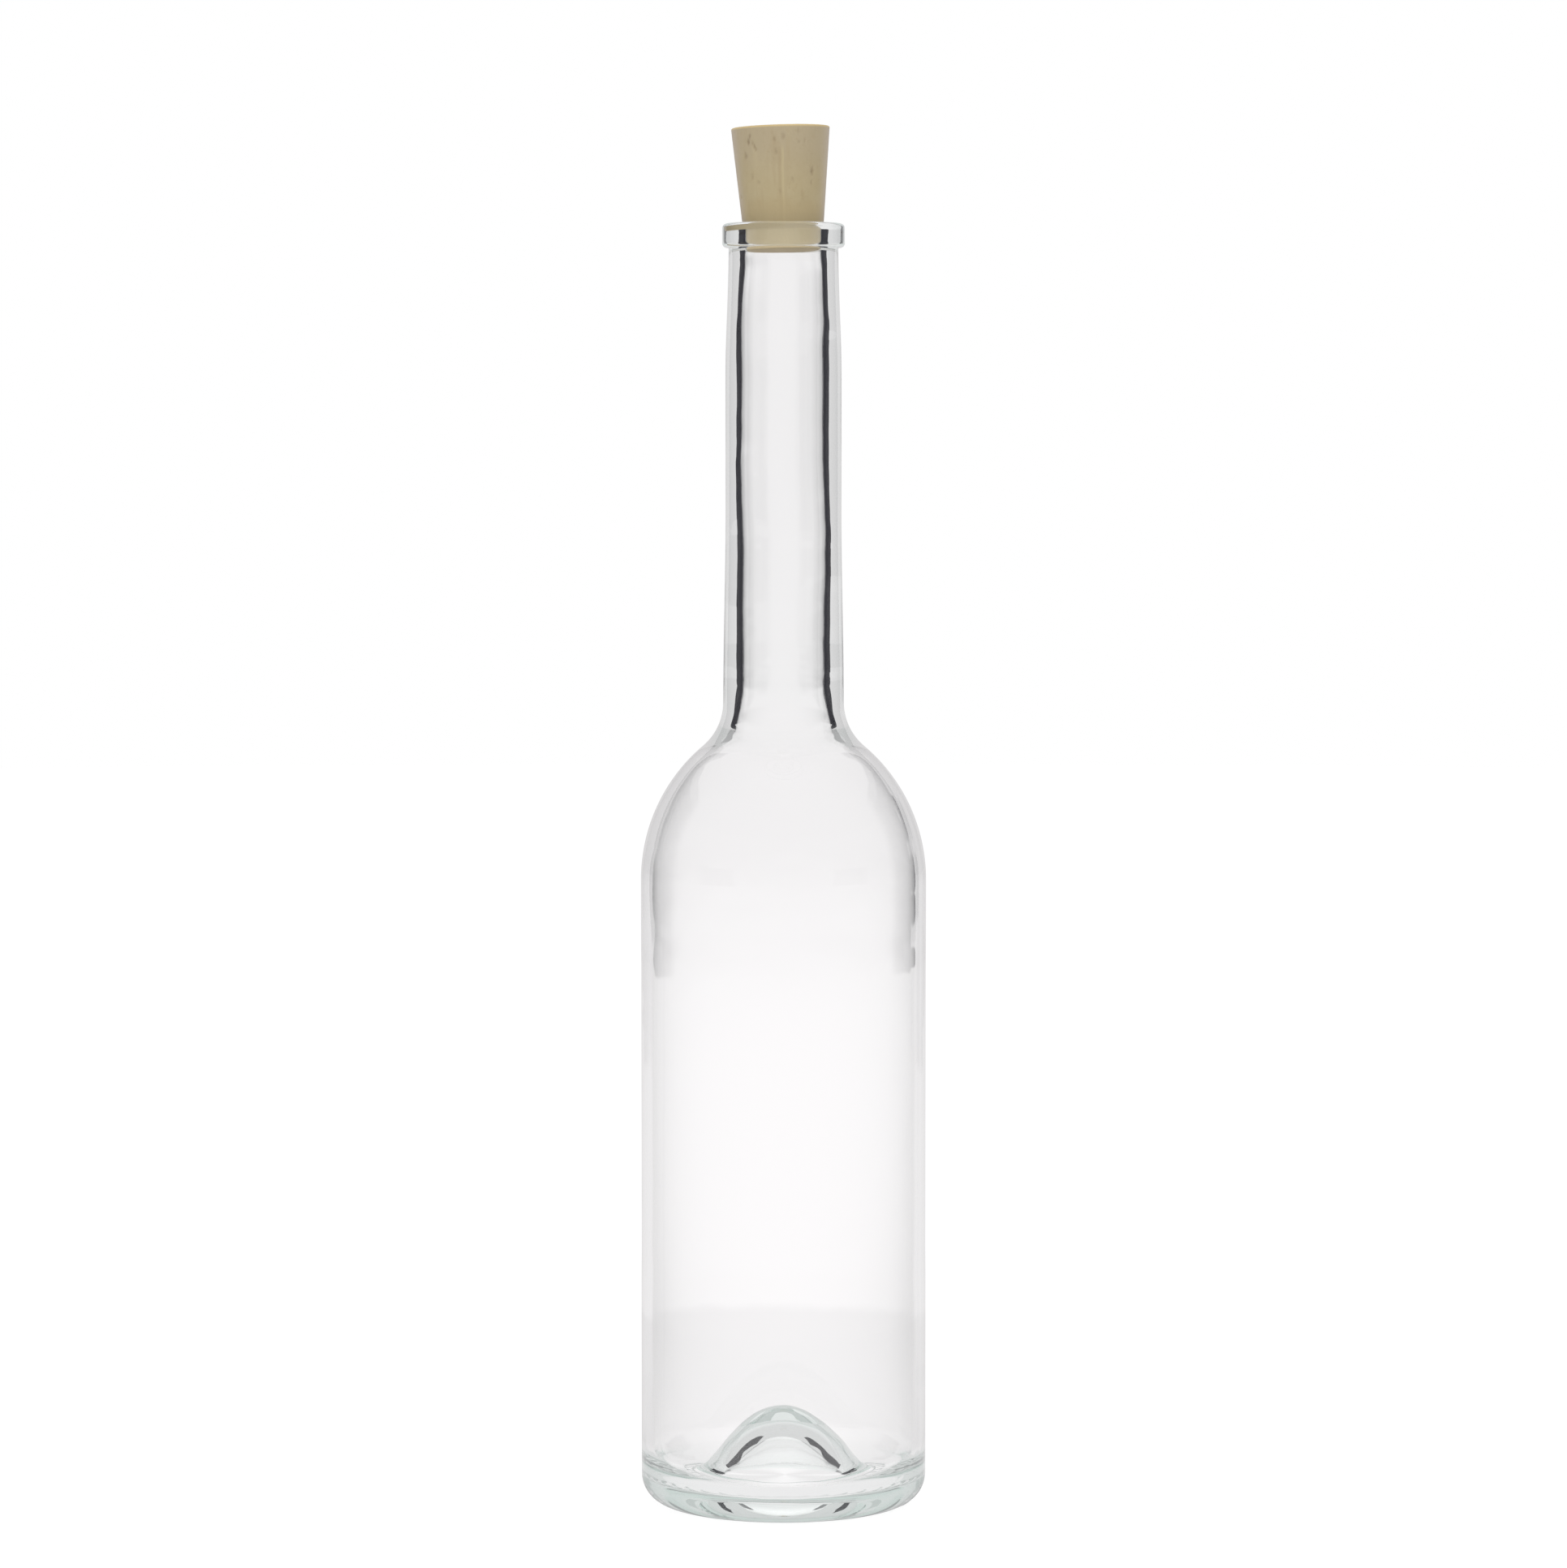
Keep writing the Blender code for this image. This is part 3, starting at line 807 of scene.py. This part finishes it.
studio = dict(
    floorRadius=3.0, floorSides=96,
    # the cards: degrees from the back, and heights as sines above the horizon
    cardTo=75.0, cardEdge=0.8, cardSoftEdge=6.0, cardColour=(0.006, 0.005, 0.012, 1.0),
    cardLow=-0.20, cardHigh=0.66, cardSideHigh=0.50, cardStep=(46.0, 50.0), cardTrim=0.02,
    frontCardHigh=0.13, frontCardInside=0.6,
    # where a card begins at each height
    cardFrom=((-0.20, 41.0), (-0.06, 41.0), (-0.03, 41.5), (0.01, 42.0), (0.07, 44.0), (0.12, 43.0),
              (0.20, 40.5), (0.30, 37.0), (0.42, 31.0), (0.52, 25.0), (0.68, 25.0)),
    # where a card begins on the floor, near by and far off, and the distances in between
    floorCard=(48.0, 42.0), floorCardFrom=(1.3, 1.45), floorCardTurn=(1.3, 1.75), bodyCardFrom=(1.4, 2.6),
    # what is left of the cards and of the light after two turns inside the glass
    twiceMirrored=0.35, deepLevel=0.88,
    # the sweep dims sideways: low down, at the horizon and high up
    floorEdge=0.56, sweepEdge=0.63, highEdge=0.94, edgeRise=(0.03, 0.12),
    fadeFrom=0.06, fadeTo=0.30, fadeNear=0.3,
    sweepTint=(1.0, 0.975, 0.985, 1.0), worldLevel=0.95, overheadLevel=1.22, overheadRise=(0.36, 0.62),
    # how bright the studio is in the glass's reflections
    backMirror=0.75, frontMirror=0.35, mirrorTurn=(80.0, 40.0), worldInside=0.80, floorInside=0.86,
    # how bright the floor is, from the bottle's foot outwards
    closeRadius=0.045, closeLevel=1.09, nearRadius=0.27, nearSoft=0.01, nearLevel=0.97,
    floorLevel=1.05, farRadius=0.7, endRadius=2.4,
    # how bright it is to plain surfaces and to the camera
    softLevel=0.8, floorGrey=0.8, shownGlow=0.9, shownGrey=0.15,
    # name, place, size, power
    lamps=(("keyLamp", (-0.9, -1.1, 1.0), 0.9, 9.0), ("fillLamp", (1.1, -0.9, 0.8), 0.9, 6.0)),
    lampAim=(0, 0, 0.2),
)

cameraView = dict(distance=1.1348, height=0.2167, pitch=3.2108, lens=123.292, sensor=36.0, clip=0.01)


def raySwitches(tree):
    light = tree.nodes.new("ShaderNodeLightPath")
    turns, faces = light.outputs["Glossy Depth"], light.outputs["Transmission Depth"]
    twice = atLeast(tree, turns, 2)
    return dict(
        camera=light.outputs["Is Camera Ray"],
        clear=calc(tree, "MAXIMUM", light.outputs["Is Glossy Ray"], light.outputs["Is Transmission Ray"]),
        mirrored=atLeast(tree, turns, 1),
        within=atLeast(tree, faces, 1),
        faces=faces,
        cardShare=mixNumber(tree, twice, 1.0, studio["twiceMirrored"]),
        deepLevel=mixNumber(tree, twice, 1.0, studio["deepLevel"]),
    )


# brightness and card at a direction: straight through the glass the sweep fades sideways, what the
# glass mirrors within is even, and its outer face mirrors a dim room at the front
def studioAt(tree, x, y, base, edge, straightFade, rays, innerMirror):
    turn = calc(tree, "DEGREES", calc(tree, "ABSOLUTE", calc(tree, "ARCTAN2", x, y)))
    offSide = calc(tree, "ABSOLUTE", calc(tree, "SUBTRACT", turn, 90.0))
    low, high = 90 - studio["cardTo"], 90 - studio["cardFrom"][0][1]
    back = ramp(tree, offSide, high, 90.0, edge, 1.0)
    side = ramp(tree, offSide, 0.0, low, 1.0, edge)
    straight = mixNumber(tree, straightFade, 1.0, calc(tree, "MAXIMUM", back, side))
    outer = ramp(tree, turn, *studio["mirrorTurn"], studio["frontMirror"], studio["backMirror"])
    mirror = mixNumber(tree, rays["within"], outer, innerMirror)
    level = calc(tree, "MULTIPLY", base, mixNumber(tree, rays["mirrored"], straight, mirror))
    return scaledColour(tree, studio["sweepTint"], level), offSide


def cardMask(tree, offSide, high):
    low, edge, softEdge = 90 - studio["cardTo"], studio["cardEdge"], studio["cardSoftEdge"]
    inner = ramp(tree, calc(tree, "SUBTRACT", offSide, high), edge, -edge)
    return calc(tree, "MULTIPLY", inner, ramp(tree, offSide, low - softEdge, low + softEdge))


def cardStart(tree, rise):
    curve = tree.nodes.new("ShaderNodeFloatCurve")
    points = curve.mapping.curves[0].points
    first, last = studio["cardFrom"][0][0], studio["cardFrom"][-1][0]
    for i, (height, degrees) in enumerate(studio["cardFrom"]):
        place = ((height - first) / (last - first), degrees / 90)
        if i < 2:
            points[i].location = place
        else:
            points.new(*place)
    curve.mapping.update()
    plug(tree, ramp(tree, rise, first, last, smooth=False), curve.inputs["Value"])
    return calc(tree, "SUBTRACT", 90.0, calc(tree, "MULTIPLY", curve.outputs["Value"], 90.0))


def makeWorld():
    world = bpy.data.worlds.new("studioWorld")
    scene.world = world
    world.use_nodes = True
    tree = world.node_tree
    tree.nodes.clear()
    rays = raySwitches(tree)
    mirrored, trim = rays["mirrored"], studio["cardTrim"]
    ray = splitVector(tree, tree.nodes.new("ShaderNodeTexCoord").outputs["Generated"])
    rise = ray["Z"]
    edge = ramp(tree, rise, *studio["edgeRise"], studio["sweepEdge"], studio["highEdge"])
    # overhead the studio is brighter, as the dome of the floor shows
    above = ramp(tree, rise, *studio["overheadRise"], studio["worldLevel"], studio["overheadLevel"])
    base = mixNumber(tree, mirrored, above, studio["worldLevel"])
    base = calc(tree, "MULTIPLY", base, rays["deepLevel"])
    sweep, offSide = studioAt(tree, ray["X"], ray["Y"], base, edge, 1.0, rays, studio["worldInside"])
    # the cards end at a height, lower at the sides and much lower in front
    card = cardMask(tree, offSide, cardStart(tree, rise))
    inFront = calc(tree, "LESS_THAN", ray["Y"], 0.0)
    backTop = ramp(tree, offSide, *studio["cardStep"], studio["cardSideHigh"], studio["cardHigh"])
    top = mixNumber(tree, inFront, backTop, studio["frontCardHigh"])
    card = calc(tree, "MULTIPLY", card, ramp(tree, calc(tree, "SUBTRACT", rise, top), trim, 0.0))
    card = calc(tree, "MULTIPLY", card, rays["cardShare"])
    # the glass's outer face doesn't show the front ones
    outer = calc(tree, "MULTIPLY", mirrored, calc(tree, "SUBTRACT", 1.0, rays["within"]))
    seenInFront = mixNumber(tree, mirrored, 1.0, studio["frontCardInside"])
    seenInFront = mixNumber(tree, outer, seenInFront, 0.0)
    card = calc(tree, "MULTIPLY", card, mixNumber(tree, inFront, 1.0, seenInFront))
    card = calc(tree, "MULTIPLY", card, ramp(tree, rise, studio["cardLow"] - trim, studio["cardLow"]))
    seen = mixColour(tree, card, sweep, studio["cardColour"])
    colour = mixColour(tree, rays["clear"], grey(studio["softLevel"]), seen)
    colour = mixColour(tree, rays["camera"], colour, grey(1.0))
    background = addNode(tree, "ShaderNodeBackground", {"Color": colour, "Strength": 1.0})
    output = tree.nodes.new("ShaderNodeOutputWorld")
    tree.links.new(background.outputs[0], output.inputs["Surface"])


def grey(level):
    return (level, level, level, 1.0)


def scaledColour(tree, colour, level):
    return scaled(tree, joinVector(tree, *colour[:3]), level)


def makeFloor():
    mesh = bpy.data.meshes.new("floor")
    shape = bmesh.new()
    bmesh.ops.create_circle(shape, cap_ends=True, segments=studio["floorSides"], radius=studio["floorRadius"])
    for face in shape.faces:
        if face.normal.z < 0:
            face.normal_flip()
    shape.to_mesh(mesh)
    shape.free()
    floor = bpy.data.objects.new("floor", mesh)
    scene.collection.objects.link(floor)
    mesh.materials.append(makeSweep())


def makeSweep():
    material, tree = newMaterial("whiteSweep")
    tree.nodes.clear()
    rays = raySwitches(tree)
    place = splitVector(tree, tree.nodes.new("ShaderNodeTexCoord").outputs["Object"])
    x, y = place["X"], place["Y"]
    radius = lengthOf(tree, x, y)
    # brightness, from far off to the bottle's foot
    far = ramp(tree, radius, studio["farRadius"], studio["endRadius"],
               studio["floorLevel"], studio["worldLevel"])
    nearFrom, nearTo = studio["nearRadius"] - studio["nearSoft"], studio["nearRadius"] + studio["nearSoft"]
    near = ramp(tree, radius, nearFrom, nearTo)
    close = ramp(tree, radius, studio["closeRadius"], 2 * studio["closeRadius"], studio["closeLevel"], 1.0)
    base = calc(tree, "MULTIPLY", mixNumber(tree, near, studio["nearLevel"], far), rays["deepLevel"])
    base = calc(tree, "MULTIPLY", base, close)
    fade = ramp(tree, radius, studio["fadeFrom"], studio["fadeTo"], studio["fadeNear"], 1.0)
    sweep, offSide = studioAt(tree, x, y, base, studio["floorEdge"], fade, rays, studio["floorInside"])
    # the cards' reflection, on the far half of the floor only
    nearCard, farCard = studio["floorCard"]
    sideways = ramp(tree, radius, *studio["floorCardTurn"], 90.0 - nearCard, 90.0 - farCard)
    card = calc(tree, "MULTIPLY", cardMask(tree, offSide, sideways),
                ramp(tree, radius, *studio["floorCardFrom"]))
    card = calc(tree, "MULTIPLY", card, calc(tree, "GREATER_THAN", y, 0.0))
    card = calc(tree, "MULTIPLY", card, rays["cardShare"])
    # a ray that crossed four faces of the glass sees it through the body, where it fades out sooner
    bodyFade = ramp(tree, radius, *studio["bodyCardFrom"])
    crossed = atLeast(tree, rays["faces"], 4)
    card = calc(tree, "MULTIPLY", card, mixNumber(tree, crossed, 1.0, bodyFade))
    seen = mixColour(tree, card, sweep, studio["cardColour"])
    glow = addNode(tree, "ShaderNodeEmission", {"Color": seen, "Strength": 1.0})
    # plain surfaces get light off it, and the camera sees it white, with the object's shadow
    plain = addNode(tree, "ShaderNodeBsdfDiffuse", {"Color": grey(studio["floorGrey"])})
    white = addNode(tree, "ShaderNodeEmission", {"Color": grey(studio["shownGlow"]), "Strength": 1.0})
    faint = addNode(tree, "ShaderNodeBsdfDiffuse", {"Color": grey(studio["shownGrey"])})
    shadowed = addNode(tree, "ShaderNodeAddShader", {0: white.outputs[0], 1: faint.outputs[0]})
    lit = addNode(tree, "ShaderNodeMixShader", {0: rays["clear"], 1: plain.outputs[0], 2: glow.outputs[0]})
    shown = addNode(tree, "ShaderNodeMixShader", {
        0: rays["camera"], 1: lit.outputs[0], 2: shadowed.outputs[0],
    })
    output = tree.nodes.new("ShaderNodeOutputMaterial")
    tree.links.new(shown.outputs[0], output.inputs["Surface"])
    return material


def makeLamps():
    for name, place, size, power in studio["lamps"]:
        data = bpy.data.lights.new(name, "AREA")
        data.shape = "DISK"
        data.size = size
        data.energy = power
        lamp = bpy.data.objects.new(name, data)
        lamp.location = place
        aim = Vector(studio["lampAim"]) - Vector(place)
        lamp.rotation_euler = aim.to_track_quat("-Z", "Y").to_euler()
        lamp.visible_camera = False
        lamp.visible_glossy = False
        lamp.visible_transmission = False
        scene.collection.objects.link(lamp)


def makeCamera():
    data = bpy.data.cameras.new("camera")
    data.lens = cameraView["lens"]
    data.sensor_width = cameraView["sensor"]
    data.clip_start = cameraView["clip"]
    camera = bpy.data.objects.new("camera", data)
    camera.location = (0, -cameraView["distance"], cameraView["height"])
    camera.rotation_euler = (math.radians(90 - cameraView["pitch"]), 0, 0)
    scene.collection.objects.link(camera)
    scene.camera = camera


makeWorld()
makeFloor()
makeLamps()
makeCamera()
scene.view_settings.view_transform = "Standard"
print("studio made")
